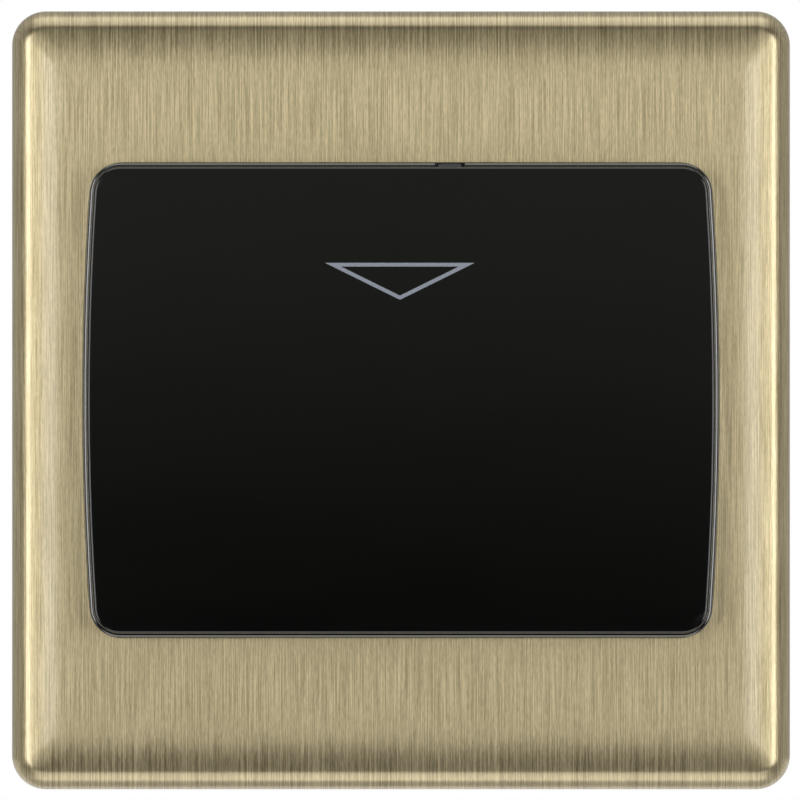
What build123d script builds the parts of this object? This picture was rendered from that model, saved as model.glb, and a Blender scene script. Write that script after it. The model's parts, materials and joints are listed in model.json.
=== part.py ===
from build123d import *
import os
from math import cos, radians, sin

os.makedirs("parts", exist_ok=True)

# Key card switch for a single-gang wall box.
#
# The origin is the middle of the switch on the wall plane. X runs across,
# Z runs up and the front faces towards minus Y. A "level" is a distance
# forwards from the wall, so a part at level 8 lies at y = -8, and what is
# buried in the wall has a negative level. All sizes are in millimetres.

# Brass plate
plate_width = 86.0
plate_height = 86.0
plate_depth = 8.0
plate_wall = 0.8
plate_corner_radius = 3.8
plate_edge_roll = 2.4
plate_opening_gap = 0.12

# Fixing to the wall box
fixing_centres = 60.3
fixing_slot_width = 4.2
fixing_slot_length = 6.5

# Barrel-shaped outline of the card holder
holder_height = 52.4
holder_width = 70.28
holder_side_bow = 0.96
holder_corner_radius = 3.4

# Card guide, the back half of the holder
guide_rim_height = 1.0
guide_edge_radius = 0.35
guide_flange_thickness = 1.4
guide_flange_overlap = 1.5
guide_wall = 1.8
guide_hollow_inset = 2.6
guide_rib_thickness = 1.0

# Card and the track that it runs in
card_width = 54.0
card_side_clearance = 0.3
card_slot = 1.4
pocket_depth = 4.8
track_back = 1.5
track_lip = 1.5
track_lead_rest = 0.3
card_stop_height = 1.2
card_stop_thickness = 1.2
card_stop_spacing = 8.0
card_stop_count = 6

# Card cover, the front half of the holder
cover_inset = 0.5
cover_front_wall = 2.2
cover_side_wall = 2.0
cover_edge_radius = 0.35
cover_mouth_lead = 1.0
track_wall = 1.2
boss_radius = 2.3
boss_spacing_x = 60.0
boss_spacing_z = 38.0
cover_pilot_radius = 0.95
cover_pilot_depth = 5.0
cover_screw_head_radius = 1.8
cover_screw_head_height = 1.3
screw_clearance = 0.05
screw_through_clearance = 0.3

# Clip frame, the moulded liner of the plate
liner_clearance = 0.1
liner_wall = 1.5
liner_setback = 1.0
liner_tab_width = 6.0
liner_tab_reach = 1.3
liner_tab_thickness = 1.2
barb_width = 8.0
barb_height = 1.2
barb_reach = 0.9
barb_spacing = 44.0
barb_clearance = 0.25

# Steel mounting frame
frame_sheet = 1.5
frame_rim_wall = 1.2
frame_rim_height = 3.5
frame_gap = 0.4
frame_corner_radius = 2.6
frame_fold_radius = 1.2
frame_opening_width = 26.0
frame_opening_drop = 14.0
frame_opening_lamp_gap = 1.5
frame_bead_length = 14.0
frame_bead_width = 3.0
frame_bead_depth = 0.6
frame_bead_height_z = 34.0
frame_bead_offset_x = 22.0

# Front moulding of the switch module
module_width = 52.0
module_corner_radius = 3.0
module_cover_thickness = 2.0
module_window_clearance = 1.2
module_screw_spacing_x = 42.0
module_screw_inset_z = 4.5
module_screw_radius = 1.45
module_screw_length = 10.0
module_screw_head_radius = 2.7

# Rear housing
housing_width = 50.0
housing_height = 46.0
housing_depth = 25.0
housing_wall = 1.8
housing_corner_radius = 3.5
housing_edge_radius = 1.2
housing_boss_radius = 3.2

# Lever that the card pushes back
pivot_level = 0.2
pivot_z = 4.0
pin_radius = 1.0
pin_lug_clearance = 0.02
lever_pin_clearance = 0.05
lever_width = 6.0
lever_hub_radius = 2.6
lever_heel_radius = 1.3
lever_heel_level = 1.6
lever_heel_drop = 11.0
lever_travel = 12.0
nose_past_card = 0.7
nose_top_drop = 5.6
nose_tip_drop = 11.4
nose_tip_height = 1.6
nose_edge_radius = 0.6
lever_side_gap = 2.3
lug_thickness = 2.4
lug_radius = 3.2
window_clearance = 0.8

# Contact pad of the lever, which works the small switch
pad_radius = 1.0
pad_drop = 6.0
pad_setback = 1.2
plunger_rest_gap = 0.05

# Small switch
microswitch_length = 19.8
microswitch_height = 10.2
microswitch_width = 6.4
microswitch_offset_x = 2.0
microswitch_corner_radius = 0.5
plunger_radius = 1.3
plunger_proud = 1.3
plunger_depth = 3.0
plunger_clearance = 0.06
microswitch_pin_spacing = 7.3
microswitch_pin_width = 1.2
microswitch_pin_thickness = 0.5
pin_stub = 1.2

# Circuit board
board_thickness = 1.6
board_side_gap = 0.4
board_boss_gap = 0.5
board_corner_radius = 1.0
board_screw_wall_gap = 1.4
board_screw_radius = 1.1
board_screw_length = 6.0
board_screw_head_radius = 2.0
board_screw_head_height = 1.3
board_post_radius = 2.4

# Terminals
terminal_pitch = 12.5
terminal_width = 7.5
terminal_height = 8.0
terminal_base_web = 1.5
terminal_bore_radius = 2.0
terminal_screw_radius = 1.45
terminal_screw_head_radius = 2.1
terminal_screw_head_height = 1.6
terminal_slot_width = 0.7
terminal_slot_depth = 0.7
terminal_edge = 0.4
terminal_end_gap = 0.4
cable_hole_radius = 2.6
driver_hole_radius = 2.5
cell_wall = 1.2

# Earth connection
earth_terminal_gap = 2.5
earth_rivet_radius = 1.2
earth_rivet_head_radius = 2.1
earth_rivet_head_height = 0.8
earth_spring_width = 5.0
earth_spring_thickness = 0.4
earth_spring_tail = 1.0
earth_spring_bend_radius = 0.6
earth_spring_rise_share = 0.5
earth_spring_contact_share = 0.3
earth_spring_tip = 1.2
earth_spring_end_gap = 0.8
earth_window_clearance = 1.0

# Indicator
light_x = 5.4
light_pipe_width = 2.5
light_pipe_thickness = 1.5
light_pipe_gap = 0.4
light_pipe_top_gap = 0.1
light_pipe_standoff = 0.2
led_wall_gap = 0.3
led_radius = 1.5
led_flange_radius = 1.9
led_flange_height = 1.0
led_body_height = 4.5
led_lead_pitch = 2.54
led_lead_size = 0.5
led_hole_clearance = 0.15
led_tip_level = 3.3

# Board components
relay_length = 28.5
relay_width = 10.1
relay_height = 12.3
relay_drop_from_led = 6.35
relay_edge_radius = 0.5
film_capacitor_length = 13.0
film_capacitor_width = 6.0
film_capacitor_height = 11.0
film_capacitor_x = -12.5
film_capacitor_z = -10.5
storage_capacitor_radius = 3.15
storage_capacitor_height = 11.0
storage_capacitor_x = 8.5
storage_capacitor_z = -11.5
varistor_radius = 4.5
varistor_thickness = 3.6
varistor_x = 17.0
varistor_z = -7.0
resistor_length = 9.0
resistor_radius = 1.6
resistor_x = -4.5
resistor_wall_gap = 2.1
chip_length = 5.0
chip_width = 4.0
chip_height = 1.5
chip_x = 17.0
chip_z = 6.0
component_standoff = 0.3

# Lever spring
spring_wire_radius = 0.2
spring_coil_radius = 1.5
spring_turns = 3.25
spring_pitch = 0.48
spring_leg_drop = 3.4
spring_leg_rise = 4.4
spring_leg_back = 2.15


def level(distance):
    """Plane that faces forwards at a distance in front of the wall."""
    return Plane.XZ.offset(distance)


class HolderOutline(BaseSketchObject):
    """Barrel outline: straight top and bottom, bowed sides, round corners.

    Args:
        grow: distance that the outline stands outside the holder's own
        mode: how the outline joins the sketch
    """

    def __init__(self, grow=0.0, mode=Mode.ADD):
        middle = holder_width / 2 + grow
        corner = middle - holder_side_bow
        top = holder_height / 2 + grow
        with BuildSketch() as outline:
            with BuildLine():
                Line((-corner, top), (corner, top))
                ThreePointArc((corner, top), (middle, 0), (corner, -top))
                Line((corner, -top), (-corner, -top))
                ThreePointArc((-corner, -top), (-middle, 0), (-corner, top))
            make_face()
            fillet(outline.vertices(), holder_corner_radius + grow)
        super().__init__(obj=outline.sketch, rotation=0, align=None, mode=mode)


class TerminalBlock(BasePartObject):
    """Drawn brass tunnel terminal with its base on the XY plane.

    The cable bore runs along Y and the clamp screw comes down along Z.

    Args:
        mode: how the block joins the part
    """

    def __init__(self, mode=Mode.ADD):
        with BuildPart() as block:
            with BuildSketch():
                Rectangle(terminal_width, terminal_height)
            extrude(amount=terminal_depth)
            chamfer(block.edges().filter_by(Axis.Z), terminal_edge)
            with BuildSketch(Plane.XZ):
                with Locations((0, terminal_bore_height)):
                    Circle(terminal_bore_radius)
            extrude(amount=terminal_height, both=True, mode=Mode.SUBTRACT)
            with BuildSketch(Plane.XY.offset(terminal_bore_height)):
                Circle(terminal_screw_radius + screw_clearance)
            extrude(amount=terminal_depth - terminal_bore_height, mode=Mode.SUBTRACT)
        super().__init__(part=block.part, rotation=(0, 0, 0), align=None, mode=mode)


class ClampScrew(BasePartObject):
    """Slotted clamp screw, backed out, with its tip on the XY plane.

    Args:
        mode: how the screw joins the part
    """

    def __init__(self, mode=Mode.ADD):
        with BuildPart() as screw:
            with BuildSketch():
                Circle(terminal_screw_radius)
            extrude(amount=terminal_screw_shank)
            with BuildSketch(Plane.XY.offset(terminal_screw_shank)):
                Circle(terminal_screw_head_radius)
            extrude(amount=terminal_screw_head_height)
            head_top = terminal_screw_shank + terminal_screw_head_height
            with BuildSketch(Plane.XY.offset(head_top)):
                Rectangle(terminal_screw_head_radius * 2, terminal_slot_width)
            extrude(amount=-terminal_slot_depth, mode=Mode.SUBTRACT)
        super().__init__(part=screw.part, rotation=(0, 0, 0), align=None, mode=mode)


# Levels of the holder, from the wall to its face
plate_inner = plate_depth - plate_wall
guide_back = plate_inner - guide_flange_thickness
guide_face = plate_depth + guide_rim_height
track_level = guide_face + track_back
card_front_level = track_level + card_slot
cover_inner = guide_face + pocket_depth
cover_face = cover_inner + cover_front_wall

# Heights inside the holder
holder_half_height = holder_height / 2
cover_half_height = holder_half_height - cover_inset
cover_floor_z = cover_side_wall - cover_half_height
card_stop_z = cover_floor_z + card_stop_height
card_half_width = card_width / 2 + card_side_clearance
track_inner = card_half_width - track_lip

# Levels of what lies behind the wall
module_front = frame_sheet + module_cover_thickness
board_front = -(microswitch_height - pivot_level + pad_setback + pad_radius
                + plunger_rest_gap + plunger_proud)
board_back = board_front - board_thickness
housing_inner = housing_wall - housing_depth
terminal_bore_height = terminal_base_web + terminal_bore_radius
terminal_depth = board_back - housing_inner
terminal_screw_shank = terminal_depth - 2 * terminal_bore_radius - terminal_base_web
terminal_z = terminal_end_gap + housing_wall + (terminal_height - housing_height) / 2
housing_reach_z = housing_height / 2 - housing_wall
board_screw_inset = housing_wall + board_screw_wall_gap + board_screw_head_radius
board_screw_spacing = housing_width - 2 * board_screw_inset
led_z = housing_reach_z - led_wall_gap - led_flange_radius
resistor_z = resistor_wall_gap + resistor_radius - housing_reach_z
relay_z = led_z - relay_drop_from_led
module_screw_pitch_z = housing_height - 2 * module_screw_inset_z
frame_opening_top = led_z + led_radius + frame_opening_lamp_gap
frame_opening_z = (frame_opening_top - frame_opening_drop) / 2

# Profile of the lever, as distances from its pivot
pivot_y = -pivot_level
nose_reach = card_front_level + nose_past_card - pivot_level
nose_root = guide_back - pivot_level
heel_y = pivot_level - lever_heel_level
heel_z = -lever_heel_drop
pad_y = pivot_level + pad_setback - pivot_level
swing = radians(lever_travel)


def swung(y, z):
    """Place of a point of the lever, from the pivot, when fully pressed."""
    return (y * cos(swing) - z * sin(swing), y * sin(swing) + z * cos(swing))


# Brass plate
with BuildPart() as front_plate:
    with BuildSketch(Plane.XZ):
        RectangleRounded(plate_width, plate_height, plate_corner_radius)
    extrude(amount=plate_depth)
    fillet(front_plate.faces().sort_by(Axis.Y)[0].edges(), plate_edge_roll)
    offset(amount=-plate_wall, openings=front_plate.faces().sort_by(Axis.Y)[-1])
    with BuildSketch(level(plate_depth)):
        HolderOutline(plate_opening_gap)
    extrude(amount=-2 * plate_wall, mode=Mode.SUBTRACT)
front_plate.part.label = "front_plate"
export_step(front_plate.part, "parts/front_plate.step")

# Clip frame: a liner with tabs that trap the guide's flange and barbs that
# snap into the folded rim of the steel frame
liner_width = plate_width - 2 * plate_wall - 2 * liner_clearance
liner_height = plate_height - 2 * plate_wall - 2 * liner_clearance
liner_corner_radius = plate_corner_radius - plate_wall - liner_clearance
liner_inner_width = liner_width - 2 * liner_wall
liner_inner_height = liner_height - 2 * liner_wall
frame_width = liner_inner_width - 2 * frame_gap
frame_height = liner_inner_height - 2 * frame_gap
frame_rim_level = frame_sheet + frame_rim_height
barb_level = frame_sheet + frame_rim_height / 2
flange_half_height = holder_half_height + guide_flange_overlap
flange_half_width = holder_width / 2 + guide_flange_overlap
earth_window_bottom = flange_half_height + liner_wall

side_planes = [
    Plane(origin=(0, -barb_level, liner_inner_height / 2), x_dir=(1, 0, 0), z_dir=(0, 0, -1)),
    Plane(origin=(0, -barb_level, -liner_inner_height / 2), x_dir=(1, 0, 0), z_dir=(0, 0, 1)),
    Plane(origin=(liner_inner_width / 2, -barb_level, 0), x_dir=(0, 0, 1), z_dir=(-1, 0, 0)),
    Plane(origin=(-liner_inner_width / 2, -barb_level, 0), x_dir=(0, 0, 1), z_dir=(1, 0, 0)),
]

with BuildPart() as clip_frame:
    with BuildSketch(level(liner_setback)):
        RectangleRounded(liner_width, liner_height, liner_corner_radius)
    extrude(amount=plate_inner - liner_setback)
    fillet(clip_frame.faces().sort_by(Axis.Y)[0].edges(), plate_edge_roll - plate_wall)
    with BuildSketch(level(liner_setback)):
        Rectangle(liner_inner_width, liner_inner_height)
    extrude(amount=guide_back - liner_setback, mode=Mode.SUBTRACT)
    with BuildSketch(level(guide_back)):
        HolderOutline(guide_flange_overlap + liner_clearance)
    extrude(amount=guide_flange_thickness, mode=Mode.SUBTRACT)
    with BuildSketch(level(guide_back)):
        with Locations((0, flange_half_height), (0, -flange_half_height)):
            with GridLocations(holder_width / 2, 0, 2, 1):
                Rectangle(liner_tab_width, 2 * liner_tab_reach)
        with Locations((flange_half_width, 0), (-flange_half_width, 0)):
            with GridLocations(0, holder_height / 2, 1, 2):
                Rectangle(2 * liner_tab_reach, liner_tab_width)
    extrude(amount=-liner_tab_thickness)
    for side in side_planes:
        with BuildSketch(side):
            with GridLocations(barb_spacing, 0, 2, 1):
                Rectangle(barb_width, barb_height)
        extrude(amount=barb_reach, taper=20)
    with BuildSketch(level(guide_back)):
        with Locations((0, (earth_window_bottom + liner_inner_height / 2) / 2)):
            Rectangle(
                earth_spring_width + 2 * earth_window_clearance,
                liner_inner_height / 2 - earth_window_bottom,
            )
    extrude(amount=guide_flange_thickness, mode=Mode.SUBTRACT)
clip_frame.part.label = "clip_frame"
export_step(clip_frame.part, "parts/clip_frame.step")

# Card guide: a shallow moulded tray whose rim shows round the cover
lever_window_top = -nose_top_drop + window_clearance
nose_low = swung(-nose_reach, heel_z - lever_heel_radius)[1]
lever_window_bottom = nose_low - window_clearance
lever_window_width = lever_width + 2 * window_clearance
light_pipe_top = holder_half_height - light_pipe_top_gap
light_slot_width = light_pipe_width + 2 * light_pipe_gap
light_slot_height = light_pipe_thickness + light_pipe_gap

with BuildPart() as card_guide:
    with BuildSketch(level(guide_back)):
        HolderOutline(guide_flange_overlap)
    extrude(amount=guide_flange_thickness)
    with BuildSketch(level(plate_inner)):
        HolderOutline()
    extrude(amount=guide_face - plate_inner)
    fillet(card_guide.faces().sort_by(Axis.Y)[0].edges(), guide_edge_radius)
    with BuildSketch(level(guide_back)):
        HolderOutline(-guide_hollow_inset)
        with GridLocations(holder_width / 3, 0, 3, 1):
            Rectangle(guide_rib_thickness, holder_height, mode=Mode.SUBTRACT)
        with GridLocations(0, holder_height / 2, 1, 2):
            Rectangle(holder_width, guide_rib_thickness, mode=Mode.SUBTRACT)
    extrude(amount=guide_face - guide_wall - guide_back, mode=Mode.SUBTRACT)
    with BuildSketch(level(guide_face)):
        with GridLocations(card_half_width + track_inner, 0, 2, 1):
            Rectangle(track_lip, 2 * (-card_stop_z))
    extrude(amount=track_back)
    chamfer(
        card_guide.faces().sort_by(Axis.Y)[0:2].edges().group_by(Axis.Z)[-1],
        track_back - track_lead_rest,
    )
    with BuildSketch(level(guide_back)):
        with GridLocations(boss_spacing_x, boss_spacing_z, 2, 2):
            Circle(cover_pilot_radius + screw_through_clearance)
        with Locations((0, pivot_z + (lever_window_top + lever_window_bottom) / 2)):
            Rectangle(lever_window_width, lever_window_top - lever_window_bottom)
        with Locations((light_x, holder_half_height - light_pipe_top_gap - light_slot_height / 2)):
            Rectangle(light_slot_width, light_slot_height + 2 * light_pipe_top_gap)
    extrude(amount=guide_face - guide_back, mode=Mode.SUBTRACT)
    with BuildSketch(level(guide_back)):
        with GridLocations(boss_spacing_x, boss_spacing_z, 2, 2):
            Circle(cover_screw_head_radius + screw_through_clearance)
    extrude(amount=guide_face - guide_wall - guide_back, mode=Mode.SUBTRACT)
card_guide.part.label = "card_guide"
export_step(card_guide.part, "parts/card_guide.step")

# Card cover: a moulded shell, open at the top, with the card tracks inside
with BuildPart() as card_cover:
    with BuildSketch(level(guide_face)):
        HolderOutline(-cover_inset)
    extrude(amount=cover_face - guide_face)
    fillet(card_cover.faces().sort_by(Axis.Y)[0].edges(), cover_edge_radius)
    with BuildSketch(level(guide_face)):
        HolderOutline(-cover_inset - cover_side_wall)
    extrude(amount=pocket_depth, mode=Mode.SUBTRACT)
    with BuildSketch(level(guide_face)):
        with Locations((0, cover_half_height / 2)):
            Rectangle(2 * card_half_width, cover_half_height)
    extrude(amount=pocket_depth, mode=Mode.SUBTRACT)
    with BuildSketch(level(guide_face)):
        with GridLocations(2 * card_half_width + track_wall, 0, 2, 1):
            Rectangle(track_wall, 2 * cover_half_height)
        with GridLocations(boss_spacing_x, boss_spacing_z, 2, 2):
            Circle(boss_radius)
    extrude(amount=pocket_depth)
    with BuildSketch(level(card_front_level)):
        with GridLocations(card_half_width + track_inner, 0, 2, 1):
            Rectangle(track_lip, 2 * cover_half_height)
    extrude(amount=cover_inner - card_front_level)
    with BuildSketch(level(guide_face + screw_clearance)):
        with Locations((0, cover_floor_z + card_stop_height / 2)):
            with GridLocations(card_stop_spacing, 0, card_stop_count, 1):
                Rectangle(card_stop_thickness, card_stop_height)
    extrude(amount=pocket_depth - screw_clearance)
    with BuildSketch(Plane.YZ.offset(-card_half_width)):
        with BuildLine():
            Polyline(
                (-cover_inner, cover_half_height),
                (-cover_inner - cover_mouth_lead, cover_half_height),
                (-cover_inner, cover_half_height - 2 * cover_mouth_lead),
                close=True,
            )
        make_face()
    extrude(amount=2 * card_half_width, mode=Mode.SUBTRACT)
    with BuildSketch(level(guide_face)):
        with GridLocations(boss_spacing_x, boss_spacing_z, 2, 2):
            Circle(cover_pilot_radius)
    extrude(amount=cover_pilot_depth, mode=Mode.SUBTRACT)
card_cover.part.label = "card_cover"
export_step(card_cover.part, "parts/card_cover.step")

# Cover screws, driven from behind through the guide
with BuildPart() as cover_screws:
    with BuildSketch(level(guide_face - guide_wall)):
        with GridLocations(boss_spacing_x, boss_spacing_z, 2, 2):
            Circle(cover_pilot_radius - screw_clearance)
    extrude(amount=guide_wall + cover_pilot_depth - 2 * screw_clearance)
    with BuildSketch(level(guide_face - guide_wall)):
        with GridLocations(boss_spacing_x, boss_spacing_z, 2, 2):
            Circle(cover_screw_head_radius)
    extrude(amount=-cover_screw_head_height)
cover_screws.part.label = "cover_screws"
export_step(cover_screws.part, "parts/cover_screws.step")

# Light pipe: carries the indicator's light up behind the guide and out
# through the notch in its rim, with a sloping mirror at each turn
light_pipe_back = guide_back - light_pipe_standoff - light_pipe_thickness
with BuildPart() as light_pipe:
    with BuildSketch(Plane.YZ.offset(light_x - light_pipe_width / 2)):
        with BuildLine():
            Polyline(
                (-guide_face, light_pipe_top),
                (-guide_face, light_pipe_top - light_pipe_thickness),
                (-light_pipe_back - light_pipe_thickness, light_pipe_top - light_pipe_thickness),
                (-light_pipe_back - light_pipe_thickness, led_z + led_radius / 2),
                (-light_pipe_back - light_pipe_thickness / 2, led_z - led_radius),
                (-light_pipe_back, led_z - led_radius),
                (-light_pipe_back, light_pipe_top - light_pipe_thickness),
                (-light_pipe_back - light_pipe_thickness, light_pipe_top),
                close=True,
            )
        make_face()
    extrude(amount=light_pipe_width)
light_pipe.part.label = "light_pipe"
export_step(light_pipe.part, "parts/light_pipe.step")

# Steel frame: a pressed sheet with a folded rim, fixing slots and beads
rim_slot_width = barb_width + 2 * barb_clearance
rim_slot_height = barb_height + 2 * barb_clearance
earth_terminal_z = housing_height / 2 + earth_terminal_gap + terminal_height / 2

with BuildPart() as grid_frame:
    with BuildSketch(Plane.XZ):
        RectangleRounded(frame_width, frame_height, frame_corner_radius)
    extrude(amount=frame_rim_level)
    fillet(grid_frame.faces().sort_by(Axis.Y)[-1].edges(), frame_fold_radius)
    with BuildSketch(level(frame_sheet)):
        RectangleRounded(
            frame_width - 2 * frame_rim_wall,
            frame_height - 2 * frame_rim_wall,
            frame_corner_radius - frame_rim_wall,
        )
    extrude(amount=frame_rim_height, mode=Mode.SUBTRACT)
    for side in side_planes:
        with BuildSketch(side):
            with GridLocations(barb_spacing, 0, 2, 1):
                Rectangle(rim_slot_width, rim_slot_height)
        extrude(amount=frame_gap + 2 * frame_rim_wall, mode=Mode.SUBTRACT)
    with BuildSketch(Plane.XZ):
        with Locations((0, frame_opening_z)):
            RectangleRounded(
                frame_opening_width,
                frame_opening_top + frame_opening_drop,
                module_corner_radius,
            )
        with GridLocations(fixing_centres, 0, 2, 1):
            SlotOverall(fixing_slot_length, fixing_slot_width)
        with GridLocations(module_screw_spacing_x, module_screw_pitch_z, 2, 2):
            Circle(module_screw_radius + screw_through_clearance)
        with Locations((0, earth_terminal_z)):
            Circle(earth_rivet_radius + screw_clearance)
    extrude(amount=frame_sheet, mode=Mode.SUBTRACT)
    with BuildSketch(level(frame_sheet)):
        with GridLocations(2 * frame_bead_offset_x, 2 * frame_bead_height_z, 2, 2):
            SlotOverall(frame_bead_length, frame_bead_width)
    extrude(amount=frame_bead_depth, taper=30)
    with BuildSketch(Plane.XZ):
        with GridLocations(2 * frame_bead_offset_x, 2 * frame_bead_height_z, 2, 2):
            SlotOverall(frame_bead_length - frame_sheet, frame_bead_width - frame_sheet)
    extrude(amount=frame_bead_depth, mode=Mode.SUBTRACT)
grid_frame.part.label = "grid_frame"
export_step(grid_frame.part, "parts/grid_frame.step")

# Front moulding of the module, with the lugs of the lever's pin
lug_inner = lever_width / 2 + lever_side_gap
lug_outer = lug_inner + lug_thickness
module_window_top = lever_hub_radius + module_window_clearance
module_window_bottom = heel_z - lever_heel_radius - module_window_clearance

with BuildPart() as module_cover:
    with BuildSketch(level(frame_sheet)):
        RectangleRounded(module_width, housing_height, module_corner_radius)
        with Locations((0, pivot_z + (module_window_top + module_window_bottom) / 2)):
            Rectangle(2 * lug_inner, module_window_top - module_window_bottom, mode=Mode.SUBTRACT)
        with Locations((light_x, led_z)):
            Circle(led_radius + led_hole_clearance, mode=Mode.SUBTRACT)
    extrude(amount=module_cover_thickness)
    chamfer(module_cover.faces().sort_by(Axis.Y)[0].outer_wire().edges(), 0.6)
    for lug_start in (lug_inner, -lug_outer):
        with BuildSketch(Plane.YZ.offset(lug_start)):
            with Locations((pivot_y, pivot_z)):
                Circle(lug_radius)
                Rectangle(
                    frame_sheet - pivot_level + module_cover_thickness,
                    2 * lug_radius,
                    align=(Align.MAX, Align.CENTER),
                )
        extrude(amount=lug_thickness)
    with BuildSketch(Plane.YZ):
        with Locations((pivot_y, pivot_z)):
            Circle(pin_radius + pin_lug_clearance)
    extrude(amount=lug_outer, both=True, mode=Mode.SUBTRACT)
    with Locations(level(module_front)):
        with GridLocations(module_screw_spacing_x, module_screw_pitch_z, 2, 2):
            CounterSinkHole(
                radius=module_screw_radius + screw_through_clearance,
                counter_sink_radius=module_screw_head_radius + screw_clearance,
                depth=module_cover_thickness,
            )
module_cover.part.label = "module_cover"
export_step(module_cover.part, "parts/module_cover.step")

# Module screws, countersunk, through the steel frame into the housing
with BuildPart() as module_screws:
    with BuildSketch(level(module_front - module_screw_length)):
        with GridLocations(module_screw_spacing_x, module_screw_pitch_z, 2, 2):
            Circle(module_screw_radius)
    extrude(amount=module_screw_length)
    with BuildSketch(level(module_front)):
        with GridLocations(module_screw_spacing_x, module_screw_pitch_z, 2, 2):
            Circle(module_screw_head_radius)
    extrude(amount=module_screw_radius - module_screw_head_radius, taper=45)
    with BuildSketch(level(module_front)):
        with GridLocations(module_screw_spacing_x, module_screw_pitch_z, 2, 2):
            Rectangle(2 * module_screw_head_radius, terminal_slot_width)
    extrude(amount=-terminal_slot_depth, mode=Mode.SUBTRACT)
module_screws.part.label = "module_screws"
export_step(module_screws.part, "parts/module_screws.step")

# Rear housing: a box open to the front, with bosses, posts and cells
terminal_level = board_back - terminal_bore_height
with BuildPart() as rear_housing:
    with BuildSketch(Plane.XZ):
        RectangleRounded(housing_width, housing_height, housing_corner_radius)
    extrude(amount=-housing_depth)
    fillet(rear_housing.faces().sort_by(Axis.Y)[-1].edges(), housing_edge_radius)
    with BuildSketch(Plane.XZ):
        RectangleRounded(
            housing_width - 2 * housing_wall,
            housing_height - 2 * housing_wall,
            housing_corner_radius - housing_wall,
        )
        with GridLocations(module_screw_spacing_x, module_screw_pitch_z, 2, 2):
            Circle(housing_boss_radius, mode=Mode.SUBTRACT)
    extrude(amount=housing_inner, mode=Mode.SUBTRACT)
    with BuildSketch(level(housing_inner)):
        with GridLocations(board_screw_spacing, 0, 2, 1):
            Circle(board_post_radius)
        with Locations((0, -housing_reach_z + (terminal_height + terminal_end_gap) / 2)):
            with GridLocations(terminal_pitch, 0, 4, 1):
                Rectangle(cell_wall, terminal_height + terminal_end_gap)
    extrude(amount=board_back - housing_inner)
    with BuildSketch(level(module_front - module_screw_length - screw_clearance)):
        with GridLocations(module_screw_spacing_x, module_screw_pitch_z, 2, 2):
            Circle(module_screw_radius + screw_clearance)
    extrude(amount=module_screw_length, mode=Mode.SUBTRACT)
    with BuildSketch(level(board_front + board_screw_head_height)):
        with GridLocations(board_screw_spacing, 0, 2, 1):
            Circle(board_screw_radius + screw_clearance)
    extrude(amount=-board_screw_length - screw_clearance, mode=Mode.SUBTRACT)
    with BuildSketch(Plane.XY.offset(-housing_height / 2)):
        with Locations((0, -terminal_level)):
            with GridLocations(terminal_pitch, 0, 3, 1):
                Circle(cable_hole_radius)
    extrude(amount=housing_wall, mode=Mode.SUBTRACT)
    with BuildSketch(level(-housing_depth)):
        with Locations((0, terminal_z)):
            with GridLocations(terminal_pitch, 0, 3, 1):
                Circle(driver_hole_radius)
    extrude(amount=housing_wall, mode=Mode.SUBTRACT)
rear_housing.part.label = "rear_housing"
export_step(rear_housing.part, "parts/rear_housing.step")

# Circuit board, cut away round the housing's bosses
with BuildPart() as circuit_board:
    with BuildSketch(level(board_back)):
        RectangleRounded(
            housing_width - 2 * housing_wall - 2 * board_side_gap,
            housing_height - 2 * housing_wall - 2 * board_side_gap,
            board_corner_radius,
        )
        with GridLocations(module_screw_spacing_x, module_screw_pitch_z, 2, 2):
            Circle(housing_boss_radius + board_boss_gap, mode=Mode.SUBTRACT)
            with Locations((0, 0)):
                Rectangle(
                    2 * housing_boss_radius,
                    2 * housing_boss_radius,
                    mode=Mode.SUBTRACT,
                )
        with GridLocations(board_screw_spacing, 0, 2, 1):
            Circle(board_screw_radius + screw_through_clearance, mode=Mode.SUBTRACT)
        with Locations((microswitch_offset_x, pivot_z - pad_drop)):
            with GridLocations(microswitch_pin_spacing, 0, 3, 1):
                Rectangle(
                    microswitch_pin_width + screw_clearance,
                    microswitch_pin_thickness + screw_clearance,
                    mode=Mode.SUBTRACT,
                )
        with Locations((light_x, led_z)):
            with GridLocations(led_lead_pitch, 0, 2, 1):
                Circle(led_lead_size, mode=Mode.SUBTRACT)
    extrude(amount=board_thickness)
circuit_board.part.label = "circuit_board"
export_step(circuit_board.part, "parts/circuit_board.step")

with BuildPart() as board_screws:
    with BuildSketch(level(board_front + board_screw_head_height - board_screw_length)):
        with GridLocations(board_screw_spacing, 0, 2, 1):
            Circle(board_screw_radius)
    extrude(amount=board_screw_length)
    with BuildSketch(level(board_front)):
        with GridLocations(board_screw_spacing, 0, 2, 1):
            Circle(board_screw_head_radius)
    extrude(amount=board_screw_head_height)
board_screws.part.label = "board_screws"
export_step(board_screws.part, "parts/board_screws.step")

# Terminals: line, neutral and load stand on the back of the board
terminal_axes = [
    Plane(origin=(column * terminal_pitch, -board_back, terminal_z), x_dir=(1, 0, 0), z_dir=(0, 1, 0))
    for column in (-1, 0, 1)
]
with BuildPart() as line_terminal:
    with Locations(terminal_axes[0]):
        TerminalBlock()
line_terminal.part.label = "line_terminal"
export_step(line_terminal.part, "parts/line_terminal.step")

with BuildPart() as neutral_terminal:
    with Locations(terminal_axes[1]):
        TerminalBlock()
neutral_terminal.part.label = "neutral_terminal"
export_step(neutral_terminal.part, "parts/neutral_terminal.step")

with BuildPart() as load_terminal:
    with Locations(terminal_axes[2]):
        TerminalBlock()
load_terminal.part.label = "load_terminal"
export_step(load_terminal.part, "parts/load_terminal.step")

clamp_screw_rise = terminal_base_web + 2 * terminal_bore_radius + screw_clearance
with BuildPart() as terminal_screws:
    for terminal_axis in terminal_axes:
        with Locations(terminal_axis.offset(clamp_screw_rise)):
            ClampScrew()
terminal_screws.part.label = "terminal_screws"
export_step(terminal_screws.part, "parts/terminal_screws.step")

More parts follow.
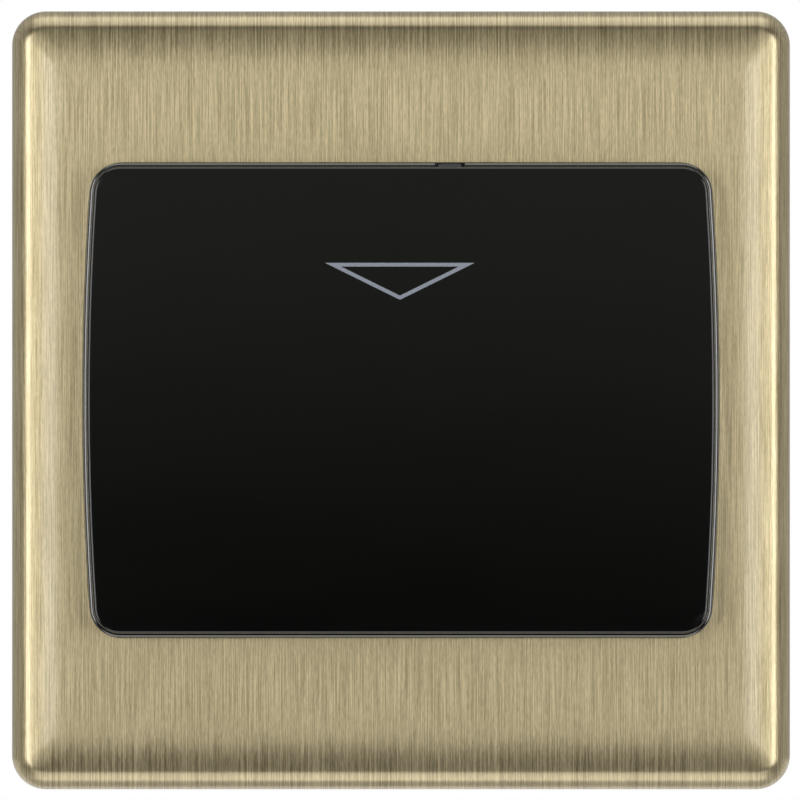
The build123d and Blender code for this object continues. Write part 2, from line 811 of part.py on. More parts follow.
# Earth terminal on the back of the steel frame, with its rivet and the leaf
# that reaches forwards to the brass plate
earth_axis = Plane(origin=(0, 0, earth_terminal_z), x_dir=(1, 0, 0), z_dir=(0, 1, 0))
earth_rivet_depth = terminal_base_web - 2 * screw_clearance
with BuildPart() as earth_terminal:
    with Locations(earth_axis):
        TerminalBlock()
    with BuildSketch(Plane.XZ):
        with Locations((0, earth_terminal_z)):
            Circle(earth_rivet_radius + screw_clearance)
    extrude(amount=-terminal_base_web, mode=Mode.SUBTRACT)
earth_terminal.part.label = "earth_terminal"
export_step(earth_terminal.part, "parts/earth_terminal.step")

with BuildPart() as earth_screw:
    with Locations(earth_axis.offset(clamp_screw_rise)):
        ClampScrew()
earth_screw.part.label = "earth_screw"
export_step(earth_screw.part, "parts/earth_screw.step")

with BuildPart() as earth_rivet:
    with BuildSketch(level(-earth_rivet_depth)):
        with Locations((0, earth_terminal_z)):
            Circle(earth_rivet_radius)
    extrude(amount=earth_rivet_depth + frame_sheet + earth_spring_thickness)
    with BuildSketch(level(frame_sheet + earth_spring_thickness)):
        with Locations((0, earth_terminal_z)):
            Circle(earth_rivet_head_radius)
    extrude(amount=earth_rivet_head_height)
    fillet(earth_rivet.faces().sort_by(Axis.Y)[0].edges(), earth_rivet_head_height / 2)
earth_rivet.part.label = "earth_rivet"
export_step(earth_rivet.part, "parts/earth_rivet.step")

leaf_back = frame_sheet + earth_spring_thickness / 2
leaf_front = plate_inner - earth_spring_thickness / 2 - screw_clearance
leaf_bend_z = earth_terminal_z + earth_rivet_head_radius + earth_spring_bend_radius / 2
leaf_reach = liner_inner_height / 2 - earth_spring_end_gap - leaf_bend_z
leaf_rise_z = leaf_bend_z + leaf_reach * earth_spring_rise_share
leaf_contact_z = leaf_rise_z + leaf_reach * earth_spring_contact_share
leaf_tip_z = leaf_bend_z + leaf_reach
with BuildPart() as earth_spring:
    with BuildSketch(Plane.YZ.offset(-earth_spring_width / 2)):
        with BuildLine():
            FilletPolyline(
                (-leaf_back, earth_terminal_z - earth_rivet_head_radius - earth_spring_tail),
                (-leaf_back, leaf_bend_z),
                (-leaf_front, leaf_rise_z),
                (-leaf_front, leaf_contact_z),
                (-leaf_front + earth_spring_tip, leaf_tip_z),
                radius=earth_spring_bend_radius,
            )
            offset(amount=earth_spring_thickness / 2, kind=Kind.TANGENT)
        make_face()
    extrude(amount=earth_spring_width)
    with BuildSketch(level(frame_sheet)):
        with Locations((0, earth_terminal_z)):
            Circle(earth_rivet_radius + screw_clearance)
    extrude(amount=2 * earth_spring_thickness, mode=Mode.SUBTRACT)
earth_spring.part.label = "earth_spring"
export_step(earth_spring.part, "parts/earth_spring.step")

# Card lever: hub, arm, contact pad and the ramped nose in the card's way
with BuildPart() as card_lever:
    with BuildSketch(Plane.YZ.offset(-lever_width / 2)) as lever_side:
        with Locations((pivot_y, pivot_z)):
            Circle(lever_hub_radius)
        with Locations((pivot_y + heel_y, pivot_z + heel_z)):
            Circle(lever_heel_radius)
        make_hull()
        with Locations((pivot_y + pad_y, pivot_z - pad_drop)):
            Circle(pad_radius)
        with BuildLine():
            Polyline(
                (pivot_y, pivot_z - nose_top_drop),
                (pivot_y - nose_root, pivot_z - nose_top_drop),
                (pivot_y - nose_reach, pivot_z - nose_tip_drop + nose_tip_height),
                (pivot_y - nose_reach, pivot_z - nose_tip_drop),
                (pivot_y - nose_root, pivot_z + heel_z - lever_heel_radius),
                (pivot_y + heel_y, pivot_z + heel_z - lever_heel_radius),
                close=True,
            )
        make_face()
        fillet(lever_side.vertices().group_by(Axis.X)[0], nose_edge_radius)
        with Locations((pivot_y, pivot_z)):
            Circle(pin_radius + lever_pin_clearance, mode=Mode.SUBTRACT)
    extrude(amount=lever_width)
card_lever.part.label = "card_lever"
export_step(card_lever.part, "parts/card_lever.step")

with BuildPart() as lever_pin:
    with BuildSketch(Plane.YZ.offset(-lug_outer)):
        with Locations((pivot_y, pivot_z)):
            Circle(pin_radius)
    extrude(amount=2 * lug_outer)
    chamfer(lever_pin.edges().filter_by(GeomType.CIRCLE), pin_radius / 5)
lever_pin.part.label = "lever_pin"
export_step(lever_pin.part, "parts/lever_pin.step")

# Lever spring: a coil round the pin beside the hub, one leg behind the arm
# and the other against the back of the module's front moulding
coil_start = lever_width / 2 + 2 * spring_wire_radius
coil_length = spring_pitch * spring_turns
cover_leg_y = spring_wire_radius + screw_clearance - frame_sheet
with BuildLine() as spring_coil:
    Helix(
        pitch=spring_pitch,
        height=coil_length,
        radius=spring_coil_radius,
        center=(coil_start, pivot_y, pivot_z),
        direction=(1, 0, 0),
        lefthand=True,
    )
coil_first = spring_coil.line @ 0
coil_last = spring_coil.line @ 1
cover_knee = coil_first - (spring_coil.line % 0) * (pivot_y - cover_leg_y)
arm_bend = coil_last + (spring_coil.line % 1) * spring_leg_drop / 4
arm_knee = Vector(arm_bend.X, pivot_y + spring_leg_back, pivot_z - spring_leg_drop)
with BuildPart() as lever_spring:
    with BuildLine() as spring_line:
        FilletPolyline(
            cover_knee + Vector(0, 0, spring_leg_rise),
            cover_knee,
            coil_first,
            radius=2 * spring_wire_radius,
        )
        add(spring_coil.line)
        FilletPolyline(
            coil_last,
            arm_bend,
            arm_knee,
            (0, arm_knee.Y, arm_knee.Z),
            radius=3 * spring_wire_radius,
        )
    with BuildSketch(Plane(origin=spring_line.line @ 0, z_dir=(0, 0, -1))):
        Circle(spring_wire_radius)
    sweep(path=spring_line.wires()[0])
lever_spring.part.label = "lever_spring"
export_step(lever_spring.part, "parts/lever_spring.step")

# Small switch with its plunger and pins
microswitch_front = board_front + microswitch_height
microswitch_z = pivot_z - pad_drop
with BuildPart() as microswitch_body:
    with BuildSketch(level(board_front)):
        with Locations((microswitch_offset_x, microswitch_z)):
            Rectangle(microswitch_length, microswitch_width)
    extrude(amount=microswitch_height)
    fillet(microswitch_body.edges().filter_by(Axis.Y), microswitch_corner_radius)
    with BuildSketch(level(microswitch_front)):
        with Locations((0, microswitch_z)):
            Circle(plunger_radius + plunger_clearance)
    extrude(amount=-plunger_depth - plunger_proud, mode=Mode.SUBTRACT)
microswitch_body.part.label = "microswitch_body"
export_step(microswitch_body.part, "parts/microswitch_body.step")

with BuildPart() as switch_plunger:
    with BuildSketch(level(microswitch_front - plunger_depth)):
        with Locations((0, microswitch_z)):
            Circle(plunger_radius)
    extrude(amount=plunger_depth + plunger_proud)
    fillet(switch_plunger.faces().sort_by(Axis.Y)[0].edges(), plunger_radius / 4)
switch_plunger.part.label = "switch_plunger"
export_step(switch_plunger.part, "parts/switch_plunger.step")

with BuildPart() as microswitch_pins:
    with BuildSketch(level(board_back - pin_stub)):
        with Locations((microswitch_offset_x, microswitch_z)):
            with GridLocations(microswitch_pin_spacing, 0, 3, 1):
                Rectangle(microswitch_pin_width, microswitch_pin_thickness)
    extrude(amount=board_thickness + pin_stub)
microswitch_pins.part.label = "microswitch_pins"
export_step(microswitch_pins.part, "parts/microswitch_pins.step")

# Components on the board
with BuildPart() as relay:
    with BuildSketch(level(board_front)):
        with Locations((0, relay_z)):
            RectangleRounded(relay_length, relay_width, relay_edge_radius)
    extrude(amount=relay_height)
    fillet(relay.faces().sort_by(Axis.Y)[0].edges(), relay_edge_radius)
relay.part.label = "relay"
export_step(relay.part, "parts/relay.step")

with BuildPart() as film_capacitor:
    with BuildSketch(level(board_front)):
        with Locations((film_capacitor_x, film_capacitor_z)):
            RectangleRounded(film_capacitor_length, film_capacitor_width, relay_edge_radius)
    extrude(amount=film_capacitor_height)
    fillet(film_capacitor.faces().sort_by(Axis.Y)[0].edges(), relay_edge_radius)
film_capacitor.part.label = "film_capacitor"
export_step(film_capacitor.part, "parts/film_capacitor.step")

with BuildPart() as storage_capacitor:
    with BuildSketch(level(board_front)):
        with Locations((storage_capacitor_x, storage_capacitor_z)):
            Circle(storage_capacitor_radius)
    extrude(amount=storage_capacitor_height)
    fillet(storage_capacitor.edges(), relay_edge_radius)
storage_capacitor.part.label = "storage_capacitor"
export_step(storage_capacitor.part, "parts/storage_capacitor.step")

with BuildPart() as varistor:
    with BuildSketch(Plane.YZ.offset(varistor_x - varistor_thickness / 2)):
        with Locations((-board_front - component_standoff - varistor_radius, varistor_z)):
            Circle(varistor_radius)
    extrude(amount=varistor_thickness)
    fillet(varistor.edges().filter_by(GeomType.CIRCLE), varistor_thickness / 3)
varistor.part.label = "varistor"
export_step(varistor.part, "parts/varistor.step")

with BuildPart() as series_resistor:
    with BuildSketch(Plane.YZ.offset(resistor_x - resistor_length / 2)):
        with Locations((-board_front - component_standoff - resistor_radius, resistor_z)):
            Circle(resistor_radius)
    extrude(amount=resistor_length)
    fillet(series_resistor.edges().filter_by(GeomType.CIRCLE), resistor_radius / 2)
series_resistor.part.label = "series_resistor"
export_step(series_resistor.part, "parts/series_resistor.step")

with BuildPart() as timer_chip:
    with BuildSketch(level(board_front)):
        with Locations((chip_x, chip_z)):
            Rectangle(chip_width, chip_length)
    extrude(amount=chip_height)
    chamfer(timer_chip.faces().sort_by(Axis.Y)[0].edges(), chip_height / 5)
timer_chip.part.label = "timer_chip"
export_step(timer_chip.part, "parts/timer_chip.step")

# Indicator lamp on its long leads, looking out through the module's front
led_base = led_tip_level - led_body_height
with BuildPart() as indicator_led:
    with BuildSketch(Plane.XZ.offset(led_base)):
        with Locations((light_x, led_z)):
            Circle(led_radius)
    extrude(amount=led_body_height)
    fillet(indicator_led.faces().sort_by(Axis.Y)[0].edges(), led_radius * 0.9)
    with BuildSketch(level(led_base)):
        with Locations((light_x, led_z)):
            Circle(led_flange_radius)
    extrude(amount=led_flange_height)
    with BuildSketch(level(board_back - pin_stub)):
        with Locations((light_x, led_z)):
            with GridLocations(led_lead_pitch, 0, 2, 1):
                Rectangle(led_lead_size, led_lead_size)
    extrude(amount=led_base - board_back + pin_stub)
indicator_led.part.label = "indicator_led"
export_step(indicator_led.part, "parts/indicator_led.step")
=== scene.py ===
"""Key card switch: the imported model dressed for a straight-on studio picture.

The brass plate and the printed mark are made here. The card holder's two front
mouldings and the lever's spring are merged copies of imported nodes. Every other
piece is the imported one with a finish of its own.
"""

import json
import logging
import math
from dataclasses import dataclass, replace
from enum import Enum
from typing import Any, Dict, List, Optional, Tuple, Union

import bmesh
import bpy
from mathutils import Matrix, Vector


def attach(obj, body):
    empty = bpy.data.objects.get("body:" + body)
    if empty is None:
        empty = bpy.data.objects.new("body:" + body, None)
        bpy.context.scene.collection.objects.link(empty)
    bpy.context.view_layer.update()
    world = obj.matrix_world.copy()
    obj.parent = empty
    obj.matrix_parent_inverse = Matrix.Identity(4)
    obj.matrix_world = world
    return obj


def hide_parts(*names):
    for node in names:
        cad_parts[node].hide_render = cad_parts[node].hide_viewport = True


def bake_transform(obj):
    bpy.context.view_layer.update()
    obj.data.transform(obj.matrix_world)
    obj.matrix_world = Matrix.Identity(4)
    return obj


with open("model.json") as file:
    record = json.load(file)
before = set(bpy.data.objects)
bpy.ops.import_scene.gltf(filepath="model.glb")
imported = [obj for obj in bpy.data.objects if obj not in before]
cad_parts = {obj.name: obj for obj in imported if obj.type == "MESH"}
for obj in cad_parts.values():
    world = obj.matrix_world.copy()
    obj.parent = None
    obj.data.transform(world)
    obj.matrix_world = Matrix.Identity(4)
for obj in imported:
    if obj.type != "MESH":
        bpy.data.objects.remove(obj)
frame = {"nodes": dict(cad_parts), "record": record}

LOG = logging.getLogger("key_card_switch")
UNIT_BODY = "switch_unit"

MM = 0.001
MERGE_DISTANCE_MM = 0.0002
PLATE_DEPTH_MM = 8.0
WHITE = (1.0, 1.0, 1.0)

# Weights of the Weighted Normal modifier: faces count by area, or the largest alone.
BY_AREA = 50
LARGEST_ALONE = 100

Colour = Tuple[float, float, float]
Number = Union[float, "Value"]
Part = Union[bmesh.types.BMEdge, bmesh.types.BMVert]


class Axis(Enum):
    """Row axis that a grain runs along."""

    ACROSS = 0
    DEPTH = 1
    UP = 2


class Rounding(Enum):
    """What a rounding takes off a shape."""

    EDGES = "EDGES"
    CORNERS = "VERTICES"


class Value:
    """One number that varies over a surface, with Python's arithmetic on it."""

    def __init__(self, graph: "NodeGraph", socket: bpy.types.NodeSocket) -> None:
        """Holds the graph and the output socket that gives the number."""
        self.graph = graph
        self.socket = socket

    def _math(self, operation: str, first: Number, second: Number = 0.0) -> "Value":
        """Adds one Math node.

        Args:
            operation: the Math node's operation
            first: number or value of its first socket
            second: number or value of its second socket

        Returns:
            The node's result.
        """
        made = self.graph.node(
            "ShaderNodeMath", {"operation": operation}, {0: first, 1: second}
        )
        return Value(self.graph, made.outputs[0])

    def __add__(self, other: Number) -> "Value":
        """Sum with a number or value."""
        return self._math("ADD", self, other)

    __radd__ = __add__

    def __sub__(self, other: Number) -> "Value":
        """This less a number or value."""
        return self._math("SUBTRACT", self, other)

    def __rsub__(self, other: Number) -> "Value":
        """A number or value less this."""
        return self._math("SUBTRACT", other, self)

    def __mul__(self, other: Number) -> "Value":
        """Product with a number or value."""
        return self._math("MULTIPLY", self, other)

    __rmul__ = __mul__

    def __truediv__(self, other: Number) -> "Value":
        """This divided by a number or value."""
        return self._math("DIVIDE", self, other)

    def __abs__(self) -> "Value":
        """Size without its sign."""
        return self._math("ABSOLUTE", self)

    def highest(self, other: Number) -> "Value":
        """The larger of this and another."""
        return self._math("MAXIMUM", self, other)

    def folded(self, span: float) -> "Value":
        """This, going up and down between nought and a span."""
        return self._math("PINGPONG", self, span)

    def between(self, low: float, high: float) -> "Value":
        """Smooth step from nought at low to one at high.

        Args:
            low: number at which the step starts
            high: number at which the step is whole

        Returns:
            The step's height.
        """
        made = self.graph.node(
            "ShaderNodeMapRange",
            {"interpolation_type": "SMOOTHSTEP"},
            {"Value": self, "From Min": low, "From Max": high},
        )
        return Value(self.graph, made.outputs["Result"])


class NodeGraph:
    """Builds one material's or the world's nodes."""

    def __init__(self, tree: bpy.types.NodeTree) -> None:
        """Empties the tree, so that every node in it is made here.

        Args:
            tree: the material's or the world's node tree
        """
        self.tree = tree
        tree.nodes.clear()
        self._places: Optional[bpy.types.NodeSocket] = None

    def node(
        self,
        kind: str,
        settings: Optional[Dict[str, Any]] = None,
        inputs: Optional[Dict[Union[int, str], Any]] = None,
    ) -> bpy.types.Node:
        """Adds a node.

        Args:
            kind: the node's type name
            settings: its settings, which are set first
            inputs: value or link of each named or numbered socket

        Returns:
            The new node.
        """
        made = self.tree.nodes.new(kind)
        for name, value in (settings or {}).items():
            setattr(made, name, value)
        for name, value in (inputs or {}).items():
            self._feed(made.inputs[name], value)
        return made

    def _feed(self, socket: bpy.types.NodeSocket, value: Any) -> None:
        """Links or sets one input socket.

        Args:
            socket: the input
            value: a value, an output socket, a colour or a number
        """
        if isinstance(value, Value):
            self.tree.links.new(value.socket, socket)
        elif isinstance(value, bpy.types.NodeSocket):
            self.tree.links.new(value, socket)
        elif socket.type == "RGBA" and len(value) == 3:
            socket.default_value = (*value, 1.0)
        else:
            socket.default_value = value

    def places(self) -> bpy.types.NodeSocket:
        """Object coordinates, in metres in the row frame.

        Returns:
            The one socket of them that all the nodes share.
        """
        if self._places is None:
            self._places = self.node("ShaderNodeTexCoord").outputs["Object"]
        return self._places

    def parts(self, vector: bpy.types.NodeSocket) -> List[Value]:
        """The three numbers of a vector."""
        made = self.node("ShaderNodeSeparateXYZ", None, {0: vector})
        return [Value(self, socket) for socket in made.outputs]

    def rays(self, kind: str) -> Value:
        """One for the rays of a kind that Light Path names, nought for the rest."""
        return Value(self, self.node("ShaderNodeLightPath").outputs[kind])

    def noise(
        self,
        per_mm: Union[float, Tuple[float, float, float]],
        detail: float = 2.0,
        roughness: float = 0.5,
        distortion: float = 0.0,
    ) -> Value:
        """Smooth noise about one half.

        Args:
            per_mm: how many features lie in a millimetre, or that along each axis
            detail: octaves above the first
            roughness: share of each octave in the next
            distortion: how far the pattern is bent

        Returns:
            The noise, from nought to one.
        """
        scales = per_mm if isinstance(per_mm, tuple) else (per_mm,) * 3
        stretched = self.node(
            "ShaderNodeVectorMath",
            {"operation": "MULTIPLY"},
            {0: self.places(), 1: tuple(scale / MM for scale in scales)},
        )
        made = self.node(
            "ShaderNodeTexNoise",
            None,
            {
                "Vector": stretched.outputs[0],
                "Scale": 1.0,
                "Detail": detail,
                "Roughness": roughness,
                "Distortion": distortion,
            },
        )
        return Value(self, made.outputs[0])

    def cells(self, per_mm: float) -> Value:
        """One random number for each of many scattered cells.

        Args:
            per_mm: how many cells lie in a millimetre

        Returns:
            The number, from nought to one.
        """
        made = self.node(
            "ShaderNodeTexVoronoi",
            None,
            {"Vector": self.places(), "Scale": per_mm / MM},
        )
        return self.parts(made.outputs["Color"])[0]

    def blend(self, factor: Number, first: Any, second: Any) -> bpy.types.NodeSocket:
        """Mixes two colours.

        Args:
            factor: share of the second
            first: colour or socket
            second: colour or socket

        Returns:
            The mixed colour's socket.
        """
        made = self.node(
            "ShaderNodeMix", {"data_type": "RGBA"}, {0: factor, 6: first, 7: second}
        )
        return made.outputs[2]

    def relief(self, height: Value, depth_mm: float) -> bpy.types.NodeSocket:
        """Bump from a height.

        Args:
            height: the height, from nought to one
            depth_mm: how deep the relief is where the height goes from one to nought

        Returns:
            The bumped normal's socket.
        """
        made = self.node(
            "ShaderNodeBump", None, {"Distance": depth_mm * MM, "Height": height}
        )
        return made.outputs[0]

    def shader(self, kind: str, inputs: Dict[Any, Any]) -> bpy.types.NodeSocket:
        """Adds a shader node.

        Args:
            kind: the node's type name
            inputs: value or link of each named or numbered socket

        Returns:
            The shader's socket.
        """
        return self.node(kind, None, inputs).outputs[0]

    def finish(self, shader: bpy.types.NodeSocket, world: bool = False) -> None:
        """Joins the last shader to the output.

        Args:
            shader: the shader's socket
            world: whether this is the world's tree
        """
        kind = "ShaderNodeOutputWorld" if world else "ShaderNodeOutputMaterial"
        self.node(kind, None, {"Surface": shader})


def new_material(name: str) -> Tuple[bpy.types.Material, NodeGraph]:
    """Makes an empty material.

    Args:
        name: the material's name

    Returns:
        The material, and the graph that fills it.
    """
    made = bpy.data.materials.new(name)
    made.use_nodes = True
    return made, NodeGraph(made.node_tree)


@dataclass(frozen=True)
class Finish:
    """A finish with its own nodes; each kind below says how it looks."""

    name: str
    colour: Colour
    roughness: float = 0.5

    def material(self) -> bpy.types.Material:
        """Makes the material from the kind's surface.

        Returns:
            The material.
        """
        made, graph = new_material(self.name)
        made.diffuse_color = (*self.colour, 1.0)
        graph.finish(graph.shader("ShaderNodeBsdfPrincipled", self.surface(graph)))
        return made

    def surface(self, graph: NodeGraph) -> Dict[str, Any]:
        """What the shader's sockets get.

        Args:
            graph: the material's nodes

        Returns:
            The value or link of each named socket.
        """
        return {"Base Color": self.colour, "Roughness": self.roughness}


@dataclass(frozen=True)
class BrushedBrass(Finish):
    """Antique brass brushed from top to bottom under a clear lacquer."""

    light_colour: Colour = (0.9, 0.77, 0.48)
    spread: float = 0.4
    contrast: float = 4.9
    fine_per_mm: float = 11.0
    fine_share: float = 0.68
    broad_per_mm: float = 3.2
    broad_share: float = 0.04
    nicks_per_mm: float = 1.1
    nicks_share: float = 0.28
    along_per_mm: float = 0.11
    line_roughness: float = 0.6
    cloud_per_mm: float = 0.05
    cloud_share: float = 0.15
    gloss_change: float = 0.05
    relief_mm: float = 0.002
    lacquer: float = 1.0
    lacquer_roughness: float = 0.12
    side_from: float = 0.5
    side_whole: float = 0.8

    def grain(self, graph: NodeGraph, across: float, along: float) -> Value:
        """Brush lines over the front and sides, and on over the rolled ends.

        Args:
            graph: the material's nodes
            across: lines in a millimetre
            along: how often a line changes in a millimetre of its length

        Returns:
            The lines, from nought to one.
        """
        line = {"detail": 1.0, "roughness": self.line_roughness}
        on_sides = graph.noise((across, across, along), **line)
        elsewhere = graph.noise((across, along, along), **line)
        normal = graph.node("ShaderNodeNewGeometry").outputs["Normal"]
        sideways = abs(graph.parts(normal)[0]).between(self.side_from, self.side_whole)
        return elsewhere + (on_sides - elsewhere) * sideways

    def surface(self, graph: NodeGraph) -> Dict[str, Any]:
        """Brush lines in the colour, the gloss and the relief, under lacquer.

        Args:
            graph: the material's nodes

        Returns:
            The value or link of each named socket.
        """
        fine = self.grain(graph, self.fine_per_mm, self.along_per_mm)
        broad = self.grain(graph, self.broad_per_mm, self.along_per_mm / 2)
        nicks = self.grain(graph, self.fine_per_mm, self.nicks_per_mm)
        cloud = graph.noise(self.cloud_per_mm)
        mixed = (
            fine * self.fine_share + broad * self.broad_share + nicks * self.nicks_share
        )
        lines = (mixed - 0.5) * self.contrast + 0.5
        shade = lines * (1 - self.cloud_share) + cloud * self.cloud_share
        return {
            "Base Color": graph.blend(shade, self.colour, self.light_colour),
            "Metallic": 1.0,
            "Roughness": self.roughness + (lines - 0.5) * self.gloss_change,
            "Anisotropic": self.spread,
            "Coat Weight": self.lacquer,
            "Coat Roughness": self.lacquer_roughness,
            "Normal": graph.relief(lines, self.relief_mm),
        }


@dataclass(frozen=True)
class MouldedPlastic(Finish):
    """Moulded plastic with a fine spark-eroded or polished skin."""

    texture_mm: float = 0.12
    texture_depth_mm: float = 0.002
    flow_per_mm: Tuple[float, float, float] = (0.05, 0.05, 0.16)
    flow_bend: float = 0.6
    mottle: float = 0.12
    gloss_change: float = 0.08
    reflection: float = 0.5
    coat: float = 0.0
    coat_roughness: float = 0.08
    coat_ior: float = 1.5

    def surface(self, graph: NodeGraph) -> Dict[str, Any]:
        """Fine skin, with the flow of the plastic in its colour and gloss.

        Args:
            graph: the material's nodes

        Returns:
            The value or link of each named socket.
        """
        skin = graph.noise(1 / self.texture_mm, roughness=0.6)
        flow = graph.noise(
            self.flow_per_mm, detail=3.0, roughness=0.55, distortion=self.flow_bend
        )
        darker = tuple(part * (1 - self.mottle) for part in self.colour)
        lighter = tuple(min(part * (1 + self.mottle), 1.0) for part in self.colour)
        return {
            "Base Color": graph.blend(
                flow.between(low=0.25, high=0.75), darker, lighter
            ),
            "Roughness": self.roughness + (flow - 0.5) * self.gloss_change,
            "Specular IOR Level": self.reflection,
            "Coat Weight": self.coat,
            "Coat Roughness": self.coat_roughness,
            "Coat IOR": self.coat_ior,
            "Normal": graph.relief(skin, self.texture_depth_mm),
        }


@dataclass(frozen=True)
class RolledMetal(Finish):
    """Rolled, drawn or plated metal with a grain and small stains."""

    grain: Axis = Axis.ACROSS
    grain_per_mm: float = 6.0
    grain_length: float = 25.0
    gloss_change: float = 0.2
    relief_mm: float = 0.003
    stain: Colour = (0.4, 0.36, 0.28)
    stain_per_mm: float = 0.22
    stain_share: float = 0.25
    spangle_per_mm: float = 0.0
    spangle_share: float = 0.3
    spangle_gloss: float = 0.16

    def surface(self, graph: NodeGraph) -> Dict[str, Any]:
        """Grain in the gloss and the relief, with stains and any spangle on top.

        Args:
            graph: the material's nodes

        Returns:
            The value or link of each named socket.
        """
        scales = [self.grain_per_mm] * 3
        scales[self.grain.value] = self.grain_per_mm / self.grain_length
        lines = graph.noise(tuple(scales), roughness=0.6)
        spots = graph.noise(self.stain_per_mm, detail=3.0, roughness=0.6)
        blotch = spots.between(low=0.5, high=0.8)
        colour = graph.blend(blotch * self.stain_share, self.colour, self.stain)
        roughness = self.roughness + (lines - 0.5) * self.gloss_change
        if self.spangle_per_mm:
            crystal = graph.cells(self.spangle_per_mm)
            colour = graph.blend(crystal * self.spangle_share, colour, self.stain)
            roughness = roughness + (crystal - 0.5) * self.spangle_gloss
        return {
            "Base Color": colour,
            "Metallic": 1.0,
            "Roughness": roughness,
            "Normal": graph.relief(lines, self.relief_mm),
        }


@dataclass(frozen=True)
class ClearMoulding(Finish):
    """Clear or tinted moulding that light goes through."""

    clearness: float = 0.85
    index: float = 1.49
    haze: float = 0.06
    flow_per_mm: float = 0.5
    flow_depth_mm: float = 0.004

    def surface(self, graph: NodeGraph) -> Dict[str, Any]:
        """Uneven haze in the clear moulding.

        Args:
            graph: the material's nodes

        Returns:
            The value or link of each named socket.
        """
        flow = graph.noise(self.flow_per_mm)
        return {
            "Base Color": self.colour,
            "Roughness": flow * self.haze + self.roughness,
            "Transmission Weight": self.clearness,
            "IOR": self.index,
            "Normal": graph.relief(flow, self.flow_depth_mm),
        }


@dataclass(frozen=True)
class SolderMask(Finish):
    """Green mask over copper tracks and bare glass epoxy."""

    track_colour: Colour = (0.09, 0.3, 0.12)
    track_pitch_mm: float = 2.4
    track_width_mm: float = 0.9
    track_lean: float = 0.2
    bend_mm: float = 6.0
    bend_per_mm: float = 0.12
    weave_per_mm: float = 2.5
    weave_share: float = 0.2
    gloss_change: float = 0.12
    relief_mm: float = 0.035
    mask: float = 0.5
    mask_roughness: float = 0.12

    def surface(self, graph: NodeGraph) -> Dict[str, Any]:
        """Raised tracks that wander over the weave of the board.

        Args:
            graph: the material's nodes

        Returns:
            The value or link of each named socket.
        """
        across, _, up = graph.parts(graph.places())
        bend = graph.noise(self.bend_per_mm, detail=0.0) * (self.bend_mm * MM)
        ridge = (across + bend + up * self.track_lean).folded(
            self.track_pitch_mm * MM / 2
        )
        track = ridge / (self.track_width_mm * MM)
        copper = 1 - track.between(low=0.45, high=0.6)
        weave = graph.noise(self.weave_per_mm, detail=1.0)
        height = copper * (1 - self.weave_share) + weave * self.weave_share
        return {
            "Base Color": graph.blend(copper, self.colour, self.track_colour),
            "Roughness": self.roughness + weave * self.gloss_change,
            "Coat Weight": self.mask,
            "Coat Roughness": self.mask_roughness,
            "Normal": graph.relief(height, self.relief_mm),
        }


@dataclass(frozen=True)
class PrintedInk(Finish):
    """Pad-printed ink, a little uneven in cover."""

    cover_per_mm: float = 5.0
    thin_share: float = 0.8
    gloss_change: float = 0.2
    relief_mm: float = 0.003

    def surface(self, graph: NodeGraph) -> Dict[str, Any]:
        """Ink that is thin in places.

        Args:
            graph: the material's nodes

        Returns:
            The value or link of each named socket.
        """
        cover = graph.noise(self.cover_per_mm, detail=3.0, roughness=0.7)
        thin = tuple(part * self.thin_share for part in self.colour)
        return {
            "Base Color": graph.blend(
                cover.between(low=0.3, high=0.7), thin, self.colour
            ),
            "Roughness": self.roughness + cover * self.gloss_change,
            "Normal": graph.relief(cover, self.relief_mm),
        }


BRASS = BrushedBrass("brushed_brass", (0.5, 0.41, 0.23), 0.34)
GLOSS_BLACK = MouldedPlastic(
    "gloss_black",
    (0.0015, 0.0015, 0.0013),
    0.1,
    texture_mm=0.1,
    texture_depth_mm=0.0002,
    mottle=0.2,
    gloss_change=0.02,
    coat=1.0,
)
RIM_BLACK = replace(GLOSS_BLACK, name="rim_black", coat_ior=2.4)
MARK_INK = PrintedInk("mark_ink", (0.3, 0.33, 0.39), 0.4)
SPRING_STEEL = RolledMetal(
    "spring_steel",
    (0.46, 0.46, 0.48),
    0.26,
    grain_per_mm=9.0,
    stain=(0.3, 0.26, 0.2),
)

